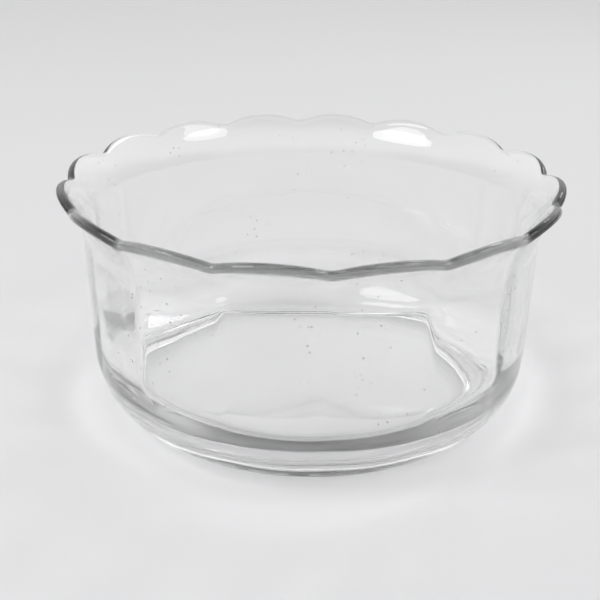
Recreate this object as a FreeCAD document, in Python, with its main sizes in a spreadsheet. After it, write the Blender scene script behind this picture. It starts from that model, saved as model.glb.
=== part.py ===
"""Scalloped glass bowl, pressed in one piece.

Millimetres, +Z up. The origin is the centre of the foot ring's resting face. The glass is a
revolved shell with a foot ring. Its rim flares outwards and is cut into lobes, one notch lies
on every axis, and a shallow flute runs down the outside of the wall under each notch.
"""

import FreeCAD, Part
import math
import os
import Sketcher

# Alias, driving value, and what it measures. Lengths in millimetres, angles in degrees.
SIZES = (
    ("lobe_count", 16, "lobes, notches and flutes round the rim"),
    ("wall_radius", 105.3, "outside of the upright wall"),
    ("wall_top", 84.5, "height where the upright wall starts to flare"),
    ("glass_thickness", 4.2, "wall and rim"),
    ("base_top", 8.3, "height of the inside floor"),
    ("inside_corner", 30.0, "radius between floor and inside wall"),
    ("foot_radius", 86.8, "outside of the foot ring"),
    ("foot_width", 5.0, "foot ring, inside to outside"),
    ("foot_height", 3.3, "foot ring, outside"),
    ("foot_round", 1.0, "rounding of the foot ring's lower edges"),
    ("recess", 3.0, "height of the underside inside the foot ring"),
    ("corner_reach", 19.0, "lower outside corner, measured inwards"),
    ("corner_height", 26.5, "lower outside corner, measured upwards"),
    ("corner_tight", 15.0, "radius of the corner's lower, tighter arc"),
    ("turn_radius", 18.0, "arc that turns the wall into the flare"),
    ("turn_angle", 25.0, "lean of the flare where that arc ends"),
    ("flare_radius", 78.5, "long arc of the flare"),
    ("blank_angle", 44.0, "lean where the untrimmed flare ends"),
    ("rim_height", 104.2, "level at which the lobes' outline is measured"),
    ("rim_lean", 53.0, "lean of the cut through the rim, square to the flare"),
    ("lobe_centre", 90.8, "distance of a lobe's arc centre from the axis"),
    ("lobe_radius", 30.2, "radius of a lobe's arc"),
    ("notch_round", 4.5, "radius at the bottom of a notch"),
    ("cut_above", 14.0, "height of the notch cut above rim_height"),
    ("cut_below", 1.0, "depth of the notch cut below rim_height"),
    ("cut_reach", 140.0, "outer limit of the notch cut"),
    ("rim_round", 1.95, "rounding of the rim's two edges"),
    ("flute_depth", 1.2, "depth of a flute in the wall"),
    ("flute_radius", 80.0, "radius across a flute's hollow"),
    ("flute_margin", 2.0, "clearance of the flute cutter outside the wall"),
    ("flute_foot", 8.0, "height at which the flute cutter starts"),
    ("flute_turn", 12.0, "arc that lifts the flute out of the flare"),
    ("flute_exit", 50.0, "sweep of that arc"),
)
SHEET = "Sizes"
NODE = "bowl"
START, END, CENTRE = 1, 2, 3
ORIGIN = (-1, 1)
X_AXIS = -1
Y_AXIS = -2


def fill_sheet(doc):
    """Write every driving size into the spreadsheet, with its alias and a note."""
    sheet = doc.addObject("Spreadsheet::Sheet", SHEET)
    for row, (alias, value, note) in enumerate(SIZES, start=1):
        sheet.set(f"A{row}", alias)
        sheet.set(f"B{row}", str(value))
        sheet.set(f"C{row}", note)
        sheet.setAlias(f"B{row}", alias)
    doc.recompute()
    return sheet


def cell(alias):
    """The expression that reads one size from the spreadsheet."""
    return f"{SHEET}.{alias}"


def origin_feature(body, role):
    """One of the body's own origin planes or axes."""
    return next(item for item in body.Origin.OriginFeatures if item.Role == role)


def new_sketch(body, name, role):
    """An empty sketch lying flat on one of the body's origin planes."""
    sketch = body.newObject("Sketcher::SketchObject", name)
    sketch.AttachmentSupport = (origin_feature(body, role), [""])
    sketch.MapMode = "FlatFace"
    return sketch


def polar(centre, radius, degrees):
    """The point at an angle on a circle."""
    angle = math.radians(degrees)
    return centre[0] + radius * math.cos(angle), centre[1] + radius * math.sin(angle)


def direction(origin, target):
    """The angle in degrees from one point to another."""
    return math.degrees(math.atan2(target[1] - origin[1], target[0] - origin[0]))


def add_line(sketch, start, end):
    """A straight edge between two points of the sketch plane."""
    ends = (FreeCAD.Vector(*start, 0), FreeCAD.Vector(*end, 0))
    return sketch.addGeometry(Part.LineSegment(*ends), False)


def add_arc(sketch, centre, radius, start, end):
    """An arc that runs anticlockwise between two angles in degrees."""
    circle = Part.Circle(FreeCAD.Vector(*centre, 0), FreeCAD.Vector(0, 0, 1), radius)
    return sketch.addGeometry(Part.ArcOfCircle(circle, math.radians(start), math.radians(end)), False)


def constrain(sketch, kind, *targets):
    """Add a geometric constraint."""
    return sketch.addConstraint(Sketcher.Constraint(kind, *targets))


def dimension(sketch, name, expression, kind, *targets):
    """Add a named dimension whose value comes from an expression on the spreadsheet."""
    result = sketch.evalExpression(expression)
    value = getattr(result, "Value", result)
    if kind == "Angle":
        value = math.radians(value)
    index = sketch.addConstraint(Sketcher.Constraint(kind, *targets, value))
    sketch.renameConstraint(index, name)
    sketch.setExpression(f"Constraints.{name}", expression)


def join(sketch, links, kind="Coincident"):
    """Join pairs of end points, each given as (edge, end, edge, end)."""
    for link in links:
        constrain(sketch, kind, *link)


def draw_section(body, size):
    """Half section of the bowl before its rim is trimmed, in the XZ plane."""
    sketch = new_sketch(body, "Section", "XZ_Plane")
    foot_inside = size["foot_radius"] - size["foot_width"]
    inside_radius = size["wall_radius"] - size["glass_thickness"]

    # Lower outside corner: a tight arc off the foot ring, then a wide one into the wall.
    reach, rise, tight = size["corner_reach"], size["corner_height"], size["corner_tight"]
    wide = (reach**2 + (rise - tight) ** 2 - tight**2) / (2 * (reach - tight))
    tight_centre = (size["wall_radius"] - reach, size["foot_height"] + tight)
    wide_centre = (size["wall_radius"] - wide, size["foot_height"] + rise)
    corner_joint = direction(wide_centre, tight_centre)
    drop = math.sqrt(tight**2 - (size["foot_radius"] - tight_centre[0]) ** 2)
    foot_top = (size["foot_radius"], tight_centre[1] - drop)

    # Flare: a short turn out of the wall, then a long arc. Both have the same lean where they meet.
    turn_centre = (size["wall_radius"] + size["turn_radius"], size["wall_top"])
    turn_end = 180 - size["turn_angle"]
    flare_joint = polar(turn_centre, size["turn_radius"], turn_end)
    flare_centre = polar(flare_joint, size["flare_radius"], turn_end - 180)
    flare_end = 180 - size["blank_angle"]
    inner_turn = size["turn_radius"] + size["glass_thickness"]
    inner_flare = size["flare_radius"] + size["glass_thickness"]
    hollow_centre = (inside_radius - size["inside_corner"], size["base_top"] + size["inside_corner"])

    underside = add_line(sketch, (0, size["recess"]), (foot_inside, size["recess"]))
    foot_back = add_line(sketch, (foot_inside, size["recess"]), (foot_inside, 0))
    foot_land = add_line(sketch, (foot_inside, 0), (size["foot_radius"], 0))
    foot_front = add_line(sketch, (size["foot_radius"], 0), foot_top)
    heel = add_arc(sketch, tight_centre, tight, direction(tight_centre, foot_top), corner_joint)
    shoulder = add_arc(sketch, wide_centre, wide, corner_joint, 0)
    wall = add_line(sketch, (size["wall_radius"], wide_centre[1]), (size["wall_radius"], size["wall_top"]))
    turn = add_arc(sketch, turn_centre, size["turn_radius"], turn_end, 180)
    flare = add_arc(sketch, flare_centre, size["flare_radius"], flare_end, turn_end)
    outer_tip = polar(flare_centre, size["flare_radius"], flare_end)
    inner_tip = polar(flare_centre, inner_flare, flare_end)
    tip = add_line(sketch, outer_tip, inner_tip)
    inside_flare = add_arc(sketch, flare_centre, inner_flare, flare_end, turn_end)
    inside_turn = add_arc(sketch, turn_centre, inner_turn, turn_end, 180)
    inside_wall = add_line(sketch, (inside_radius, size["wall_top"]), (inside_radius, hollow_centre[1]))
    hollow = add_arc(sketch, hollow_centre, size["inside_corner"], -90, 0)
    floor = add_line(sketch, (hollow_centre[0], size["base_top"]), (0, size["base_top"]))
    middle = add_line(sketch, (0, size["base_top"]), (0, size["recess"]))

    join(sketch, (
        (underside, END, foot_back, START), (foot_back, END, foot_land, START),
        (foot_land, END, foot_front, START), (foot_front, END, heel, START),
        (flare, START, tip, START), (tip, END, inside_flare, START),
        (floor, END, middle, START), (middle, END, underside, START),
    ))
    join(sketch, (
        (heel, END, shoulder, START), (shoulder, END, wall, START), (wall, END, turn, END),
        (turn, START, flare, END), (inside_flare, END, inside_turn, START),
        (inside_turn, END, inside_wall, START), (inside_wall, END, hollow, END),
        (hollow, START, floor, START),
    ), "Tangent")
    for edge in (underside, foot_land, floor):
        constrain(sketch, "Horizontal", edge)
    for edge in (foot_back, foot_front, wall, inside_wall, middle):
        constrain(sketch, "Vertical", edge)
    constrain(sketch, "PointOnObject", middle, START, Y_AXIS)
    constrain(sketch, "PointOnObject", foot_land, START, X_AXIS)
    constrain(sketch, "Coincident", turn, CENTRE, inside_turn, CENTRE)
    constrain(sketch, "Coincident", flare, CENTRE, inside_flare, CENTRE)
    constrain(sketch, "PointOnObject", flare, CENTRE, tip)

    across = (
        ("foot_outside", cell("foot_radius"), foot_land, END),
        ("foot_inside", f"{cell('foot_radius')} - {cell('foot_width')}", foot_land, START),
        ("heel_across", f"{cell('wall_radius')} - {cell('corner_reach')}", heel, CENTRE),
        ("wall_outside", cell("wall_radius"), wall, END),
    )
    upwards = (
        ("underside_level", cell("recess"), underside, START),
        ("heel_level", f"{cell('foot_height')} + {cell('corner_tight')}", heel, CENTRE),
        ("shoulder_level", f"{cell('foot_height')} + {cell('corner_height')}", shoulder, CENTRE),
        ("wall_top_level", cell("wall_top"), turn, CENTRE),
        ("floor_level", cell("base_top"), floor, END),
    )
    for name, expression, edge, point in across:
        dimension(sketch, name, expression, "DistanceX", *ORIGIN, edge, point)
    for name, expression, edge, point in upwards:
        dimension(sketch, name, expression, "DistanceY", *ORIGIN, edge, point)
    dimension(sketch, "heel_arc", cell("corner_tight"), "Radius", heel)
    dimension(sketch, "turn_arc", cell("turn_radius"), "Radius", turn)
    dimension(sketch, "flare_arc", cell("flare_radius"), "Radius", flare)
    dimension(sketch, "hollow_arc", cell("inside_corner"), "Radius", hollow)
    dimension(sketch, "turn_sweep", f"{cell('turn_angle')} * 1 deg", "Angle", turn)
    flare_sweep = f"({cell('blank_angle')} - {cell('turn_angle')}) * 1 deg"
    dimension(sketch, "flare_sweep", flare_sweep, "Angle", flare)
    dimension(sketch, "tip_width", cell("glass_thickness"), "Distance", tip)
    return sketch


def draw_notch(body, size, name, rise, rise_expression):
    """Outline of one notch at a height above rim_height, from lobe crest to lobe crest.

    The cut leans inwards as it rises, so a lobe's arc gets smaller with height and the round
    at the bottom of the notch gets larger.
    """
    sketch = new_sketch(body, name, "XY_Plane")
    sketch.setExpression("AttachmentOffset.Base.z", f"{cell('rim_height')} + {rise_expression}")
    lean = f"({rise_expression}) * tan({cell('rim_lean')} * 1 deg)"
    inset = rise * math.tan(math.radians(size["rim_lean"]))
    half = 180 / size["lobe_count"]
    lobe_radius = size["lobe_radius"] - inset
    notch_radius = size["notch_round"] + inset
    left_centre = polar((0, 0), size["lobe_centre"], half)
    right_centre = polar((0, 0), size["lobe_centre"], -half)
    away = math.sqrt((lobe_radius + notch_radius) ** 2 - left_centre[1] ** 2)
    notch_centre = (left_centre[0] + away, 0)
    side_reach = size["cut_reach"] / math.cos(math.radians(half))

    to_notch = direction(left_centre, notch_centre)
    from_notch = direction(notch_centre, left_centre)
    left_lobe = add_arc(sketch, left_centre, lobe_radius, to_notch, half)
    valley = add_arc(sketch, notch_centre, notch_radius, from_notch, 360 - from_notch)
    right_lobe = add_arc(sketch, right_centre, lobe_radius, -half, -to_notch)
    crest = size["lobe_centre"] + lobe_radius
    left_side = add_line(sketch, polar((0, 0), crest, half), polar((0, 0), side_reach, half))
    outside = add_line(sketch, polar((0, 0), side_reach, half), polar((0, 0), side_reach, -half))
    right_side = add_line(sketch, polar((0, 0), side_reach, -half), polar((0, 0), crest, -half))

    join(sketch, ((left_lobe, START, valley, START), (valley, END, right_lobe, END)), "Tangent")
    join(sketch, (
        (left_lobe, END, left_side, START), (left_side, END, outside, START),
        (outside, END, right_side, START), (right_side, END, right_lobe, START),
    ))
    constrain(sketch, "Vertical", outside)
    constrain(sketch, "Symmetric", left_lobe, CENTRE, right_lobe, CENTRE, X_AXIS)
    constrain(sketch, "Equal", left_lobe, right_lobe)
    for lobe, side in ((left_lobe, left_side), (right_lobe, right_side)):
        constrain(sketch, "PointOnObject", *ORIGIN, side)
        constrain(sketch, "PointOnObject", lobe, CENTRE, side)

    half_pitch = f"180 deg / {cell('lobe_count')}"
    across = f"{cell('lobe_centre')} * cos({half_pitch})"
    aside = f"{cell('lobe_centre')} * sin({half_pitch})"
    dimension(sketch, "lobe_across", across, "DistanceX", *ORIGIN, left_lobe, CENTRE)
    dimension(sketch, "lobe_aside", aside, "DistanceY", *ORIGIN, left_lobe, CENTRE)
    dimension(sketch, "lobe_arc", f"{cell('lobe_radius')} - {lean}", "Radius", left_lobe)
    dimension(sketch, "notch_arc", f"{cell('notch_round')} + {lean}", "Radius", valley)
    dimension(sketch, "reach", cell("cut_reach"), "DistanceX", *ORIGIN, outside, START)
    return sketch


def draw_flute_section(body, size):
    """Section of the flute cutter: a shallow hollow closed by a chord outside the wall."""
    sketch = new_sketch(body, "FluteSection", "XY_Plane")
    sketch.setExpression("AttachmentOffset.Base.z", cell("flute_foot"))
    centre = (size["wall_radius"] - size["flute_depth"] + size["flute_radius"], 0)
    sagitta = size["flute_depth"] + size["flute_margin"]
    half_angle = math.degrees(math.acos(1 - sagitta / size["flute_radius"]))
    hollow = add_arc(sketch, centre, size["flute_radius"], 180 - half_angle, 180 + half_angle)
    left = polar(centre, size["flute_radius"], 180 - half_angle)
    right = polar(centre, size["flute_radius"], 180 + half_angle)
    chord = add_line(sketch, right, left)

    join(sketch, ((hollow, END, chord, START), (chord, END, hollow, START)))
    constrain(sketch, "Vertical", chord)
    constrain(sketch, "PointOnObject", hollow, CENTRE, X_AXIS)
    across = f"{cell('wall_radius')} - {cell('flute_depth')} + {cell('flute_radius')}"
    margin = f"{cell('wall_radius')} + {cell('flute_margin')}"
    dimension(sketch, "hollow_arc", cell("flute_radius"), "Radius", hollow)
    dimension(sketch, "hollow_across", across, "DistanceX", *ORIGIN, hollow, CENTRE)
    dimension(sketch, "chord_across", margin, "DistanceX", *ORIGIN, chord, START)
    return sketch


def draw_flute_path(body, size):
    """Path of the flute cutter: up the wall, then out of the glass below the rim."""
    sketch = new_sketch(body, "FlutePath", "XZ_Plane")
    across = size["wall_radius"]
    centre = (across + size["flute_turn"], size["wall_top"])
    rise = add_line(sketch, (across, size["flute_foot"]), (across, size["wall_top"]))
    leave = add_arc(sketch, centre, size["flute_turn"], 180 - size["flute_exit"], 180)

    join(sketch, ((rise, END, leave, END),), "Tangent")
    constrain(sketch, "Vertical", rise)
    dimension(sketch, "path_across", cell("wall_radius"), "DistanceX", *ORIGIN, rise, START)
    dimension(sketch, "path_foot", cell("flute_foot"), "DistanceY", *ORIGIN, rise, START)
    dimension(sketch, "path_top", cell("wall_top"), "DistanceY", *ORIGIN, leave, CENTRE)
    dimension(sketch, "exit_arc", cell("flute_turn"), "Radius", leave)
    dimension(sketch, "exit_sweep", f"{cell('flute_exit')} * 1 deg", "Angle", leave)
    return sketch


def repeat_round_axis(body, feature, name):
    """Repeat a cut once for every lobe, round the bowl's axis, and make it the body's tip."""
    pattern = body.newObject("PartDesign::PolarPattern", name)
    pattern.Originals = [feature]
    pattern.Axis = (origin_feature(body, "Z_Axis"), [""])
    pattern.Angle = 360
    pattern.setExpression("Occurrences", cell("lobe_count"))
    body.Tip = pattern
    return pattern


def edge_names(shape, low, high):
    """The names of the edges that lie wholly between two heights."""
    return [
        f"Edge{number}"
        for number, edge in enumerate(shape.Edges, start=1)
        if low <= edge.BoundBox.ZMin and edge.BoundBox.ZMax <= high
    ]


def round_edges(doc, body, base, name, alias, low, high):
    """Round the edges between two heights, with a radius from the spreadsheet."""
    fillet = body.newObject("PartDesign::Fillet", name)
    fillet.Base = (base, edge_names(base.Shape, low, high))
    fillet.setExpression("Radius", cell(alias))
    body.Tip = fillet
    doc.recompute()
    return fillet


def expect_less(before, after, what):
    """Stop if a cut has taken nothing away."""
    if not after.Shape.Volume < before.Shape.Volume - 1:
        raise RuntimeError(f"{what} removed no glass")


def build_bowl(doc, size):
    """Model the bowl: a revolved blank, a scalloped rim, rounded edges and fluted wall."""
    body = doc.addObject("PartDesign::Body", "Bowl")
    body.Label = NODE
    blank = body.newObject("PartDesign::Revolution", "Blank")
    blank.Profile = draw_section(body, size)
    blank.ReferenceAxis = (blank.Profile[0], ["V_Axis"])
    blank.Angle = 360
    doc.recompute()

    high = draw_notch(body, size, "NotchHigh", size["cut_above"], cell("cut_above"))
    low = draw_notch(body, size, "NotchLow", -size["cut_below"], f"0 - {cell('cut_below')}")
    doc.recompute()
    notch = body.newObject("PartDesign::SubtractiveLoft", "Notch")
    notch.Profile = high
    notch.Sections = [low]
    notch.Ruled = True
    doc.recompute()
    expect_less(blank, notch, "the notch")
    scallops = repeat_round_axis(body, notch, "Scallops")
    doc.recompute()
    expect_less(notch, scallops, "the row of notches")

    rim_low = size["rim_height"] - size["cut_below"]
    top = scallops.Shape.BoundBox.ZMax
    rim = round_edges(doc, body, scallops, "RimRound", "rim_round", rim_low, top + 1)
    foot = round_edges(doc, body, rim, "FootRound", "foot_round", -0.01, 0.01)

    section = draw_flute_section(body, size)
    path = draw_flute_path(body, size)
    doc.recompute()
    flute = body.newObject("PartDesign::SubtractivePipe", "Flute")
    flute.Profile = section
    flute.Spine = path
    doc.recompute()
    expect_less(foot, flute, "the flute")
    flutes = repeat_round_axis(body, flute, "Flutes")
    doc.recompute()
    expect_less(flute, flutes, "the row of flutes")
    body.Placement = FreeCAD.Placement()
    doc.recompute()
    return body


def check_document(doc, bodies):
    """Stop if any object failed to build, or a sub-part isn't one valid solid."""
    for item in doc.Objects:
        if {"Invalid", "Error"} & set(item.State):
            raise RuntimeError(f"{item.Name} failed: {item.State}")
    for body in bodies:
        if body.Shape.isNull() or not body.Shape.isValid() or len(body.Shape.Solids) != 1:
            raise RuntimeError(f"{body.Label} isn't one valid solid")


def main():
    """Build the document, check it and write each sub-part."""
    doc = FreeCAD.newDocument("ScallopedBowl")
    fill_sheet(doc)
    size = {alias: value for alias, value, _ in SIZES}
    bodies = [build_bowl(doc, size)]
    check_document(doc, bodies)
    os.makedirs("parts", exist_ok=True)
    for body in bodies:
        body.Shape.exportStep(f"parts/{body.Label}.step")
        box = body.Shape.optimalBoundingBox(False)
        print(body.Label, f"{box.XLength:.1f} x {box.YLength:.1f} x {box.ZLength:.1f} mm,",
              f"{body.Shape.Volume / 1000:.0f} cm3")


main()
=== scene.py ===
"""Looks of a scalloped glass bowl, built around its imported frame.

The bowl is one pressing of clear glass. Its mesh is a set of upright section lines, one after
another round the axis. Lengths in the classes are millimetres of the real bowl, and the frame's
own height turns them into scene units.
"""

import logging
import math
from collections.abc import Iterator
from dataclasses import dataclass
from enum import Enum

import bmesh
import bpy
from mathutils import Matrix, Vector


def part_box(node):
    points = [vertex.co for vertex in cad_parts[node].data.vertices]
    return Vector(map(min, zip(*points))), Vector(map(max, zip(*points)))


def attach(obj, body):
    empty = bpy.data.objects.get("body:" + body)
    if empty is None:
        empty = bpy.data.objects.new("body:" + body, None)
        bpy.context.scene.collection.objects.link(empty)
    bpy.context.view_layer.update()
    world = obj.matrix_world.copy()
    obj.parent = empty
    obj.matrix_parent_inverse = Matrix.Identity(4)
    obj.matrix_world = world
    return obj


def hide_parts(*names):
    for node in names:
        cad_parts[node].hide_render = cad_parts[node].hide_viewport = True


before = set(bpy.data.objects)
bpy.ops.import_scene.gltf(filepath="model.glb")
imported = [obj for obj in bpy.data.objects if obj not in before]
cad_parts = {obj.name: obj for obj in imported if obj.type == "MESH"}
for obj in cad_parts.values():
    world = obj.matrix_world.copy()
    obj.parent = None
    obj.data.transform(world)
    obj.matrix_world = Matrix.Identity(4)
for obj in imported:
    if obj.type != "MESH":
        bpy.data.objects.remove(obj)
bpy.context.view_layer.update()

BODY = "root"
NODE = "bowl"
CAD_HEIGHT = 109.33
SENSOR_WIDTH = 36.0
BOUNCES = 32

log = logging.getLogger("bowl")

Point = tuple[float, float]


def ease(value: float, low: float, high: float) -> float:
    """Rise smoothly from 0 at low to 1 at high.

    Args:
        value: The number to place between the two limits.
        low: Where the rise starts.
        high: Where the rise ends.

    Returns:
        A number from 0 to 1, level at both ends.
    """
    part = min(1.0, max(0.0, (value - low) / (high - low)))
    return part * part * (3 - 2 * part)


def steps(count: int) -> Iterator[float]:
    """Give evenly spaced numbers from above 0 up to 1."""
    return ((index + 1) / count for index in range(count))


def bend(start: Point, end: Point, power: float, count: int) -> list[Point]:
    """Points of a curve that leaves one point straight up and leans ever more to another.

    Args:
        start: Radius and height where the curve is upright.
        end: Radius and height where it stops.
        power: How late it turns. Above 2, it leaves the start with no kink in its curvature.
        count: How many points to give.

    Returns:
        The points after the start, up to the end.
    """
    across, rise = end[0] - start[0], end[1] - start[1]
    return [(start[0] + across * part**power, start[1] + rise * part) for part in steps(count)]


def quarter(centre: Point, across: float, rise: float, start: float, count: int) -> list[Point]:
    """Points of a quarter of an ellipse, with its axes level and upright.

    Args:
        centre: Radius and height of its centre.
        across: Half its width.
        rise: Half its height.
        start: Angle in degrees of the point that the quarter starts after.
        count: How many points to give.

    Returns:
        The points after the start, anticlockwise, up to the end of the quarter.
    """
    points = []
    for part in steps(count):
        angle = math.radians(start + 90 * part)
        points.append((centre[0] + across * math.cos(angle), centre[1] + rise * math.sin(angle)))
    return points


def straight(start: Point, end: Point, count: int) -> list[Point]:
    """Evenly spaced points of a straight line, after its start and up to its end."""
    return [
        (start[0] + (end[0] - start[0]) * part, start[1] + (end[1] - start[1]) * part)
        for part in steps(count)
    ]


@dataclass(frozen=True)
class Detail:
    """How many points each stretch of a section line gets.

    Attributes:
        underside: Level face inside the foot ring.
        edge: Each rounded edge of the foot ring.
        foot: Outside face of the foot ring.
        heel: Lower outside corner.
        wall: Upright wall, on each side of the glass.
        flare: Flare, on each side of the glass.
        bead: Half round at the rim.
        hollow: Lower inside corner.
        floor: Inside floor.
    """

    underside: int = 20
    edge: int = 4
    foot: int = 4
    heel: int = 22
    wall: int = 26
    flare: int = 20
    bead: int = 12
    hollow: int = 22
    floor: int = 22


@dataclass
class LobeSpacing:
    """How the lobes and the notches between them divide the circle.

    Attributes:
        count: Lobes round the rim, with a notch on each axis of the frame.
        columns: Section lines for each lobe.
        crowding: How far the section lines gather at the notches, from 0 to 1.
        softness: Share of half a lobe over which a notch is rounded.
    """

    count: int = 16
    columns: int = 26
    crowding: float = 0.55
    softness: float = 0.11

    def angles(self) -> list[float]:
        """Place the section lines round the circle, closer together at the notches.

        Returns:
            Their angles in radians, from the notch on -Y.
        """
        pitch = math.tau / self.count
        places = []
        for lobe in range(self.count):
            for column in range(self.columns):
                part = column / self.columns
                part -= self.crowding * math.sin(math.tau * part) / math.tau
                places.append((lobe + part) * pitch)
        return places

    def fullness(self, angle: float) -> float:
        """How far out a lobe stands at an angle.

        Args:
            angle: Angle from a notch, in radians.

        Returns:
            0 in a notch and 1 on a lobe's crest, along a parabola with a rounded foot.
        """
        part = (angle * self.count / math.tau) % 1.0
        off_crest = abs(2 * part - 1)
        to_notch = 1 - off_crest
        foot = self.softness
        slope = 2 * (1 - foot)
        floor = 1 - (1 - foot) ** 2 - slope * foot / 2
        if to_notch >= foot:
            height = 1 - off_crest**2
        else:
            height = floor + slope * to_notch**2 / (2 * foot)
        return (height - floor) / (1 - floor)


@dataclass
class ScallopedBowl:
    """The bowl: foot ring, heel, panelled wall, flared rim with lobes, and hollow.

    Attributes:
        spacing: How the lobes divide the circle.
        detail: How finely the section lines are drawn.
        wall_radius: Outside of the wall on a panel's crest.
        panel_out: How far a panel's crest stands out from the line under a notch.
        panel_in: How far the inside swells at a panel's crest, so the glass is a weak lens.
        panel_fade: Heights between which the outside panels fade into the corner below.
        inner_fade: The same for the swelling of the inside.
        thickness: Wall under a notch.
        rim_thickness: Bead at the rim.
        rim_lean: Degrees that the flare leans outwards where it meets the bead.
        notch_radius: Bead's centre in a notch.
        notch_height: Height of the bead's centre in a notch.
        lobe_reach: How far a lobe's crest stands out from the notch.
        lobe_rise: How far a lobe's crest stands up from the notch.
        flare_rise: Height of the flare below a notch.
        flare_power: How late the flare turns outwards.
        flare_lift: How much higher the inside starts to flare.
        foot_radius: Outside of the foot ring.
        foot_width: Foot ring, from inside to outside.
        foot_height: Foot ring's outside face.
        foot_face: Share of that face that is upright, before the heel starts to round it.
        heel_clearance: How far past the foot ring the heel's first point lies.
        foot_edge: Rounding of the foot ring's edges.
        recess: Height of the underside inside the foot ring.
        heel_reach: Lower outside corner, measured inwards.
        heel_rise: Lower outside corner, measured upwards.
        base_top: Height of the inside floor.
        hollow_reach: Inside corner, measured inwards.
        hollow_rise: Inside corner, measured upwards.
        floor_sink: How much lower the middle of the inside floor lies.
    """

    spacing: LobeSpacing
    detail: Detail
    wall_radius: float = 105.3
    panel_out: float = 0.5
    panel_in: float = 0.35
    panel_fade: Point = (12.0, 32.0)
    inner_fade: Point = (30.0, 52.0)
    thickness: float = 4.2
    rim_thickness: float = 4.2
    rim_lean: float = 42.0
    notch_radius: float = 110.2
    notch_height: float = 104.0
    lobe_reach: float = 2.6
    lobe_rise: float = 3.3
    flare_rise: float = 20.0
    flare_power: float = 2.2
    flare_lift: float = 1.0
    foot_radius: float = 86.8
    foot_width: float = 5.0
    foot_height: float = 3.3
    foot_face: float = 0.8
    heel_clearance: float = 0.05
    foot_edge: float = 1.0
    recess: float = 3.0
    heel_reach: float = 19.0
    heel_rise: float = 26.5
    base_top: float = 8.3
    hollow_reach: float = 30.0
    hollow_rise: float = 30.0
    floor_sink: float = 0.6

    @property
    def wall_top(self) -> float:
        """Height where the wall starts to flare."""
        return self.notch_height - self.flare_rise

    def bead_centre(self, fullness: float) -> Vector:
        """Radius and height of the middle of the bead on one section line."""
        return Vector((
            self.notch_radius + self.lobe_reach * fullness,
            self.notch_height + self.lobe_rise * fullness,
        ))

    def bead_across(self) -> Vector:
        """Half the bead's width, from its middle to its inner edge and square to the flare."""
        lean = math.radians(self.rim_lean)
        return Vector((-math.cos(lean), math.sin(lean))) * self.rim_thickness / 2

    def foot_line(self) -> list[Point]:
        """Section of the underside and the foot ring.

        Returns:
            Radius and height of each point, from the axis outwards.
        """
        inner = self.foot_radius - self.foot_width
        edge = self.foot_edge
        line = straight((0, self.recess), (inner - edge, self.recess), self.detail.underside)
        corner = quarter((inner - edge, self.recess - edge), edge, edge, 0, self.detail.edge)
        line += [(r, z) for r, z in reversed(corner[:-1])]
        line += [(inner, self.recess - edge)]
        line += quarter((inner + edge, edge), edge, edge, 180, self.detail.edge)
        line += quarter((self.foot_radius - edge, edge), edge, edge, 270, self.detail.edge)
        top_of_face = (self.foot_radius, self.foot_height * self.foot_face)
        line += straight(line[-1], top_of_face, self.detail.foot)
        return line

    def outside_line(self, fullness: float) -> list[Point]:
        """Section of the outside, from the foot ring up to the rim.

        Args:
            fullness: How far out the lobe stands on this section line, from 0 to 1.

        Returns:
            Radius and height of each point.
        """
        top_of_heel = self.foot_height + self.heel_rise
        centre = (self.wall_radius - self.heel_reach, top_of_heel)
        line = quarter(centre, self.heel_reach, self.heel_rise, 270, self.detail.heel)
        line = [point for point in line if point[0] > self.foot_radius + self.heel_clearance]
        line += straight(line[-1], (self.wall_radius, self.wall_top), self.detail.wall)
        dip = self.panel_out * (1 - fullness)
        line = [(r - dip * ease(z, *self.panel_fade), z) for r, z in line]
        rim = self.bead_centre(fullness) - self.bead_across()
        return line + bend(line[-1], (rim.x, rim.y), self.flare_power, self.detail.flare)

    def inside_line(self, fullness: float, rim: Point) -> list[Point]:
        """Section of the inside, from the rim down to the axis.

        Args:
            fullness: How far out the lobe stands on this section line, from 0 to 1.
            rim: Radius and height of the bead's inner edge.

        Returns:
            Radius and height of each point.
        """
        under_notch = self.wall_radius - self.panel_out - self.thickness
        swell = self.panel_in * fullness
        radius = under_notch - swell
        flare_start = (radius, self.wall_top + self.flare_lift)
        flare = [flare_start] + bend(flare_start, rim, self.flare_power, self.detail.flare)
        line = list(reversed(flare[:-1]))
        hollow_top = self.base_top + self.hollow_rise
        line += straight(line[-1], (radius, hollow_top), self.detail.wall)
        line = [(r + swell * (1 - ease(z, *self.inner_fade)), z) for r, z in line]
        centre = (under_notch - self.hollow_reach, hollow_top)
        corner = quarter(centre, self.hollow_reach, self.hollow_rise, 270, self.detail.hollow)
        line += [(r - swell * ease(z, *self.inner_fade), z) for r, z in reversed(corner[:-1])]
        line += [(centre[0], self.base_top)]
        for part in steps(self.detail.floor):
            sink = self.floor_sink * ease(part, 0, 1)
            line.append((centre[0] * (1 - part), self.base_top - sink))
        return line

    def bead(self, fullness: float) -> list[Point]:
        """Rounded edge of the rim, from the end of the outside to the start of the inside.

        Args:
            fullness: How far out the lobe stands on this section line, from 0 to 1.

        Returns:
            Radius and height of each point, with the inner edge last.
        """
        centre, across = self.bead_centre(fullness), self.bead_across()
        along = Vector((across.y, -across.x))
        points = []
        for part in steps(self.detail.bead):
            angle = math.pi * part
            point = centre - across * math.cos(angle) + along * math.sin(angle)
            points.append((point.x, point.y))
        return points

    def section(self, angle: float) -> list[Point]:
        """One whole section line.

        Args:
            angle: Angle from a notch, in radians.

        Returns:
            Radius and height of each point, from the axis underneath, round the rim, to the
            axis inside.
        """
        fullness = self.spacing.fullness(angle)
        outside = self.outside_line(fullness)
        bead = self.bead(fullness)
        inside = self.inside_line(fullness, bead[-1])
        return self.foot_line() + outside + bead + inside

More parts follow.
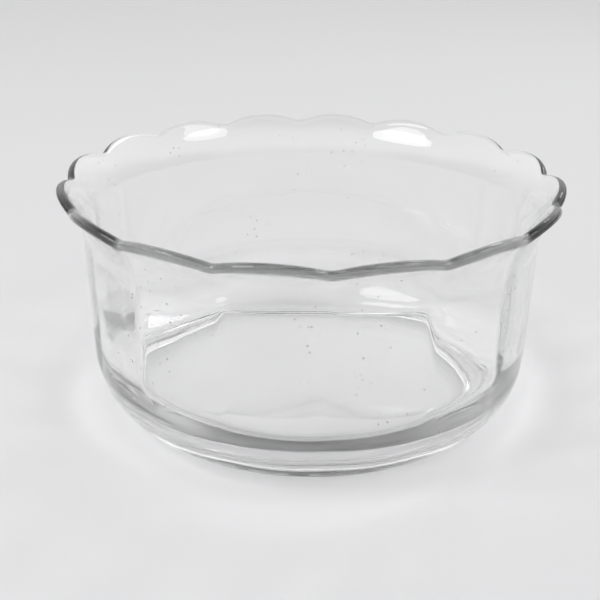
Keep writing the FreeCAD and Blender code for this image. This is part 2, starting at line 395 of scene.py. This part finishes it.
    def build(self, unit: float) -> bpy.types.Object:
        """Make the bowl's mesh.

        Args:
            unit: Scene length of one millimetre of the bowl.

        Returns:
            The new object, with its origin in the middle of the foot ring's resting face.
        """
        angles = self.spacing.angles()
        sections = [self.section(angle) for angle in angles]
        mesh = bmesh.new()
        rings = []
        for row in range(len(sections[0]) - 1):
            ring = []
            for angle, section in zip(angles, sections):
                radius, height = section[row]
                place = (math.sin(angle) * radius, -math.cos(angle) * radius, height)
                ring.append(mesh.verts.new(Vector(place) * unit))
            rings.append(ring)
        for lower, upper in zip(rings, rings[1:]):
            for here in range(len(angles)):
                there = (here + 1) % len(angles)
                mesh.faces.new((lower[here], lower[there], upper[there], upper[here]))
        first = mesh.verts.new((0, 0, self.recess * unit))
        last = mesh.verts.new((0, 0, sections[0][-1][1] * unit))
        for here in range(len(angles)):
            there = (here + 1) % len(angles)
            mesh.faces.new((first, rings[0][there], rings[0][here]))
            mesh.faces.new((last, rings[-1][here], rings[-1][there]))
        bmesh.ops.recalc_face_normals(mesh, faces=mesh.faces)
        for face in mesh.faces:
            face.smooth = True
        data = bpy.data.meshes.new("pressed_bowl")
        mesh.to_mesh(data)
        mesh.free()
        piece = bpy.data.objects.new("pressed_bowl", data)
        bpy.context.scene.collection.objects.link(piece)
        return piece


class NodeBench:
    """A short hand for adding and joining shader nodes in one tree."""

    def __init__(self, tree: bpy.types.NodeTree) -> None:
        """Start on a tree, emptied of its nodes."""
        self.tree = tree
        tree.nodes.clear()

    def add(self, kind: str, **settings: object) -> bpy.types.Node:
        """Add a node.

        Args:
            kind: Name of the node's type.
            **settings: Attributes of the node to set.

        Returns:
            The new node.
        """
        node = self.tree.nodes.new(kind)
        for name, value in settings.items():
            setattr(node, name, value)
        return node

    def join(self, source: bpy.types.NodeSocket, target: bpy.types.NodeSocket) -> None:
        """Link an output to an input."""
        self.tree.links.new(source, target)

    def arithmetic(self, operation: str, first: object, second: object) -> bpy.types.NodeSocket:
        """Add a sum of two values.

        Args:
            operation: Name of the Math node's operation.
            first: A number, or an output to read.
            second: A number, or an output to read.

        Returns:
            The result's output.
        """
        node = self.add("ShaderNodeMath", operation=operation)
        for socket, value in zip(node.inputs, (first, second)):
            if isinstance(value, bpy.types.NodeSocket):
                self.join(value, socket)
            else:
                socket.default_value = value
        return node.outputs[0]

    def smooth_range(
        self, value: bpy.types.NodeSocket, span: Point, result: Point
    ) -> bpy.types.NodeSocket:
        """Add a smooth change from one number to another.

        Args:
            value: The output to read.
            span: Values at which the change starts and ends.
            result: The numbers before and after it.

        Returns:
            The result's output.
        """
        node = self.add("ShaderNodeMapRange", interpolation_type="SMOOTHSTEP")
        for name, number in zip(("From Min", "From Max", "To Min", "To Max"), (*span, *result)):
            node.inputs[name].default_value = number
        self.join(value, node.inputs["Value"])
        return node.outputs["Result"]

    def noise(self, scale: float, detail: float, stretch: Vector | None = None) -> bpy.types.NodeSocket:
        """Add a noise over the object's own space.

        Args:
            scale: Repeats to the metre.
            detail: Octaves.
            stretch: Scale along each axis, where it isn't even.

        Returns:
            The noise's value.
        """
        place = self.add("ShaderNodeTexCoord").outputs["Object"]
        if stretch is not None:
            mapping = self.add("ShaderNodeMapping")
            mapping.inputs["Scale"].default_value = stretch
            self.join(place, mapping.inputs["Vector"])
            place = mapping.outputs["Vector"]
        texture = self.add("ShaderNodeTexNoise")
        texture.inputs["Scale"].default_value = scale
        texture.inputs["Detail"].default_value = detail
        self.join(place, texture.inputs["Vector"])
        return texture.outputs["Fac"]


@dataclass(frozen=True)
class PressedGlass:
    """Clear soda-lime glass from a press mould.

    Attributes:
        ior: Refractive index.
        tint: Colour that a thick piece takes.
        density: How fast that colour builds up, for each metre of glass.
        polish: Roughness where the glass is clean.
        haze: Roughness where it is smeared by handling.
        smear_scale: Smears to the metre.
        smear_levels: Levels of the noise between which a smear builds up.
        speck_shade: What a speck lets through.
        speck_scale: Places for a speck to the metre.
        dust_scale: Patches of specks to the metre.
        dust_levels: Levels of the noise between which a patch builds up.
        speck_size: Radius of a speck and of its soft edge, as shares of the gap between places.
        speck_roughness: Roughness of a speck.
        ripple: Depth of the mould's slow waves, in metres.
        ripple_scale: Waves to the metre.
        ripple_stretch: Scale of the waves along each axis. They are longest upwards.
    """

    ior: float = 1.52
    tint: tuple[float, float, float] = (0.745, 0.75, 0.745)
    density: float = 15.0
    polish: float = 0.0
    haze: float = 0.05
    smear_scale: float = 16.0
    smear_levels: Point = (0.56, 0.74)
    speck_shade: tuple[float, float, float] = (0.42, 0.40, 0.37)
    speck_scale: float = 200.0
    dust_scale: float = 21.0
    dust_levels: Point = (0.53, 0.60)
    speck_size: Point = (0.06, 0.13)
    speck_roughness: float = 0.35
    ripple: float = 0.00012
    ripple_scale: float = 34.0
    ripple_stretch: tuple[float, float, float] = (1.0, 1.0, 0.45)

    def material(self) -> bpy.types.Material:
        """Make the glass, with its wear, its waves and the colour of its depth.

        Returns:
            The new material.
        """
        material = bpy.data.materials.new("pressed_glass")
        material.use_nodes = True
        bench = NodeBench(material.node_tree)
        output = bench.add("ShaderNodeOutputMaterial")
        glass = bench.add("ShaderNodeBsdfPrincipled")
        glass.inputs["Transmission Weight"].default_value = 1.0
        glass.inputs["IOR"].default_value = self.ior
        bench.join(glass.outputs[0], output.inputs["Surface"])
        specks = self._specks(bench)
        cast = bench.add("ShaderNodeMix", data_type="RGBA")
        cast.inputs["A"].default_value = (1, 1, 1, 1)
        cast.inputs["B"].default_value = (*self.speck_shade, 1)
        bench.join(specks, cast.inputs["Factor"])
        bench.join(cast.outputs["Result"], glass.inputs["Base Color"])
        bench.join(self._roughness(bench, specks), glass.inputs["Roughness"])
        bench.join(self._surface(bench), glass.inputs["Normal"])
        absorption = bench.add("ShaderNodeVolumeAbsorption")
        absorption.inputs["Color"].default_value = (*self.tint, 1)
        absorption.inputs["Density"].default_value = self.density
        bench.join(absorption.outputs[0], output.inputs["Volume"])
        return material

    def _specks(self, bench: NodeBench) -> bpy.types.NodeSocket:
        """Add sparse specks of dust and pitting.

        Args:
            bench: The material's nodes.

        Returns:
            An output that is 1 on a speck and 0 beside it.
        """
        places = bench.add("ShaderNodeTexVoronoi")
        places.inputs["Scale"].default_value = self.speck_scale
        bench.join(bench.add("ShaderNodeTexCoord").outputs["Object"], places.inputs["Vector"])
        spots = bench.smooth_range(places.outputs["Distance"], self.speck_size, (1.0, 0.0))
        dusty = bench.smooth_range(bench.noise(self.dust_scale, 2), self.dust_levels, (0.0, 1.0))
        return bench.arithmetic("MULTIPLY", spots, dusty)

    def _roughness(self, bench: NodeBench, specks: bpy.types.NodeSocket) -> bpy.types.NodeSocket:
        """Add the clean polish, with faint smears and the specks on it.

        Args:
            bench: The material's nodes.
            specks: The output that marks the specks.

        Returns:
            The roughness's output.
        """
        smears = bench.smooth_range(
            bench.noise(self.smear_scale, 5),
            self.smear_levels,
            (self.polish, self.haze),
        )
        grit = bench.arithmetic("MULTIPLY", specks, self.speck_roughness)
        return bench.arithmetic("ADD", smears, grit)

    def _surface(self, bench: NodeBench) -> bpy.types.NodeSocket:
        """Add the slow waves that a mould leaves in pressed glass.

        Args:
            bench: The material's nodes.

        Returns:
            The normal's output.
        """
        waves = bench.noise(self.ripple_scale, 1.5, Vector(self.ripple_stretch))
        bump = bench.add("ShaderNodeBump")
        bump.inputs["Strength"].default_value = 1.0
        bump.inputs["Distance"].default_value = self.ripple
        bench.join(waves, bump.inputs["Height"])
        return bump.outputs["Normal"]


@dataclass(frozen=True)
class PaleSurface:
    """Smooth white board that the bowl stands on.

    Attributes:
        colour: Its reflected colour.
        sheen_roughness: Roughness of its faint gloss.
        gloss: Specular level.
        shade: What is left of the colour in its darker patches.
        patch_scale: Patches to the metre.
    """

    colour: tuple[float, float, float] = (0.80, 0.80, 0.81)
    sheen_roughness: float = 0.55
    gloss: float = 0.25
    shade: float = 0.975
    patch_scale: float = 3.0

    def material(self) -> bpy.types.Material:
        """Make the board, with a barely visible unevenness.

        Returns:
            The new material.
        """
        material = bpy.data.materials.new("pale_board")
        material.use_nodes = True
        bench = NodeBench(material.node_tree)
        output = bench.add("ShaderNodeOutputMaterial")
        board = bench.add("ShaderNodeBsdfPrincipled")
        board.inputs["Roughness"].default_value = self.sheen_roughness
        board.inputs["Specular IOR Level"].default_value = self.gloss
        mix = bench.add("ShaderNodeMix", data_type="RGBA")
        mix.inputs["A"].default_value = (*(self.shade * part for part in self.colour), 1)
        mix.inputs["B"].default_value = (*self.colour, 1)
        bench.join(bench.noise(self.patch_scale, 3), mix.inputs["Factor"])
        bench.join(mix.outputs["Result"], board.inputs["Base Color"])
        bench.join(board.outputs[0], output.inputs["Surface"])
        return material


class SoftLight(Enum):
    """Studio lights: place in metres, size in metres and power in watts."""

    LEFT = ((-0.95, -0.40, 1.15), 0.6, 4.0)
    RIGHT = ((1.0, -0.3, 1.3), 0.5, 2.0)
    BEHIND = ((0.7, 0.9, 1.1), 0.3, 1.2)


@dataclass
class Studio:
    """Plain pale floor, even surroundings and soft lights.

    Attributes:
        floor_radius: Half the floor's width.
        brightness: Brightness of the surroundings at a few heights, each given as the sine
            of its angle above the floor.
        side_brightness: What is left of it on the bowl's two sides, at the floor's level.
        side_height: Height, as a sine, above which the sides are as bright as the rest.
        side_reach: How far to the side, as a sine, that the shade starts and is full.
    """

    floor_radius: float = 3.5
    brightness: tuple[Point, ...] = ((0.0, 0.62), (0.2, 0.95), (0.42, 1.34), (0.85, 0.45))
    side_brightness: float = 0.3
    side_height: float = 0.45
    side_reach: Point = (0.55, 0.95)

    def lay_floor(self, finish: PaleSurface) -> bpy.types.Object:
        """Make the floor, a round board whose top is the level that the bowl stands on.

        Args:
            finish: What the board is made of.

        Returns:
            The floor.
        """
        mesh = bmesh.new()
        bmesh.ops.create_circle(mesh, cap_ends=True, segments=96, radius=self.floor_radius)
        data = bpy.data.meshes.new("floor")
        mesh.to_mesh(data)
        mesh.free()
        floor = bpy.data.objects.new("floor", data)
        bpy.context.scene.collection.objects.link(floor)
        floor.data.materials.append(finish.material())
        return floor

    def surround(self) -> None:
        """Light the world, darker towards the horizon so the glass has edges."""
        world = bpy.data.worlds.new("surroundings")
        bpy.context.scene.world = world
        world.use_nodes = True
        bench = NodeBench(world.node_tree)
        output = bench.add("ShaderNodeOutputWorld")
        background = bench.add("ShaderNodeBackground")
        bench.join(background.outputs[0], output.inputs["Surface"])
        place = bench.add("ShaderNodeTexCoord").outputs["Generated"]
        split = bench.add("ShaderNodeSeparateXYZ")
        bench.join(place, split.inputs[0])
        bands = bench.add("ShaderNodeFloatCurve")
        curve = bands.mapping.curves[0]
        top = max(level for _, level in self.brightness)
        for point, (height, level) in zip(curve.points, (self.brightness[0], self.brightness[-1])):
            point.location = (height, level / top)
        for height, level in self.brightness[1:-1]:
            curve.points.new(height, level / top)
        bands.mapping.update()
        bench.join(split.outputs["Z"], bands.inputs["Value"])
        aside = bench.arithmetic("ABSOLUTE", split.outputs["X"], 0.0)
        on_side = bench.smooth_range(aside, self.side_reach, (0.0, 1.0))
        low_down = bench.smooth_range(split.outputs["Z"], (0.0, self.side_height), (1.0, 0.0))
        shade = bench.arithmetic("MULTIPLY", on_side, low_down)
        kept = bench.smooth_range(shade, (0.0, 1.0), (1.0, self.side_brightness))
        level = bench.arithmetic("MULTIPLY", bands.outputs["Value"], kept)
        bench.join(level, background.inputs["Color"])
        background.inputs["Strength"].default_value = top

    def hang(self, light: SoftLight, aim: Vector) -> bpy.types.Object:
        """Hang one soft light and aim it at a point.

        Args:
            light: Which light to hang.
            aim: The point that it faces.

        Returns:
            The light.
        """
        place, size, power = light.value
        lamp = bpy.data.lights.new(light.name.lower(), "AREA")
        lamp.shape = "DISK"
        lamp.size = size
        lamp.energy = power
        piece = bpy.data.objects.new(lamp.name, lamp)
        piece.location = place
        piece.rotation_euler = (aim - Vector(place)).to_track_quat("-Z", "Y").to_euler()
        bpy.context.scene.collection.objects.link(piece)
        return piece


@dataclass
class ViewingCamera:
    """Camera that looks down at the bowl from the front.

    Attributes:
        distance: From the point on the bowl's axis that it is set out from, in millimetres.
        aim_height: Height of that point.
        around: Degrees from the notch on -Y, positive towards +X.
        elevation: Degrees above that point.
        tilt: Degrees that it looks further down than the point.
        turn: Degrees that it looks to the right of it.
        roll: Degrees of its lean.
        lens: Focal length for a 36 mm sensor.
    """

    distance: float = 401.9
    aim_height: float = 104.2
    around: float = -4.06
    elevation: float = 17.48
    tilt: float = 7.98
    turn: float = -0.72
    roll: float = 0.50
    lens: float = 51.24

    def place(self, unit: float) -> bpy.types.Object:
        """Add the camera and make it the scene's.

        Args:
            unit: Scene length of one millimetre of the bowl.

        Returns:
            The camera.
        """
        data = bpy.data.cameras.new("front_camera")
        data.sensor_width = SENSOR_WIDTH
        data.lens = self.lens
        camera = bpy.data.objects.new("front_camera", data)
        bpy.context.scene.collection.objects.link(camera)
        up = math.radians(self.elevation)
        down = math.radians(self.elevation + self.tilt)
        turn = math.radians(self.turn)
        level = math.cos(down)
        ahead = Vector((math.sin(turn) * level, math.cos(turn) * level, -math.sin(down)))
        right = Vector((math.cos(turn), -math.sin(turn), 0))
        over = right.cross(ahead)
        lean = Matrix.Rotation(math.radians(self.roll), 3, "Z")
        facing = Matrix((right, over, -ahead)).transposed() @ lean
        around = Matrix.Rotation(math.radians(self.around), 3, "Z")
        place = Vector((0, -math.cos(up), math.sin(up))) * self.distance
        place.z += self.aim_height
        camera.matrix_world = Matrix.Translation(around @ place * unit) @ (around @ facing).to_4x4()
        bpy.context.scene.camera = camera
        return camera


def set_light_paths(scene: bpy.types.Scene) -> None:
    """Let light bounce often enough to leave the glass, and show colours as they are.

    Args:
        scene: The scene to set.
    """
    scene.cycles.max_bounces = BOUNCES
    scene.cycles.glossy_bounces = BOUNCES
    scene.cycles.transmission_bounces = BOUNCES
    scene.cycles.blur_glossy = 0.0
    scene.view_settings.view_transform = "Standard"


def main() -> None:
    """Build the bowl and the studio round it, and place the camera."""
    logging.basicConfig(level=logging.INFO, format="%(name)s: %(message)s")
    low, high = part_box(NODE)
    unit = (high[2] - low[2]) / CAD_HEIGHT

    bowl = ScallopedBowl(LobeSpacing(), Detail())
    piece = bowl.build(unit)
    piece.data.materials.append(PressedGlass().material())
    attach(piece, BODY)
    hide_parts(NODE)
    log.info("pressed_bowl: %d faces", len(piece.data.polygons))

    studio = Studio()
    studio.lay_floor(PaleSurface())
    studio.surround()
    middle = Vector((0, 0, bowl.notch_height / 2 * unit))
    for light in SoftLight:
        studio.hang(light, middle)
        log.info("light: %s", light.name.lower())
    ViewingCamera().place(unit)
    set_light_paths(bpy.context.scene)


if __name__ == "__main__":
    main()
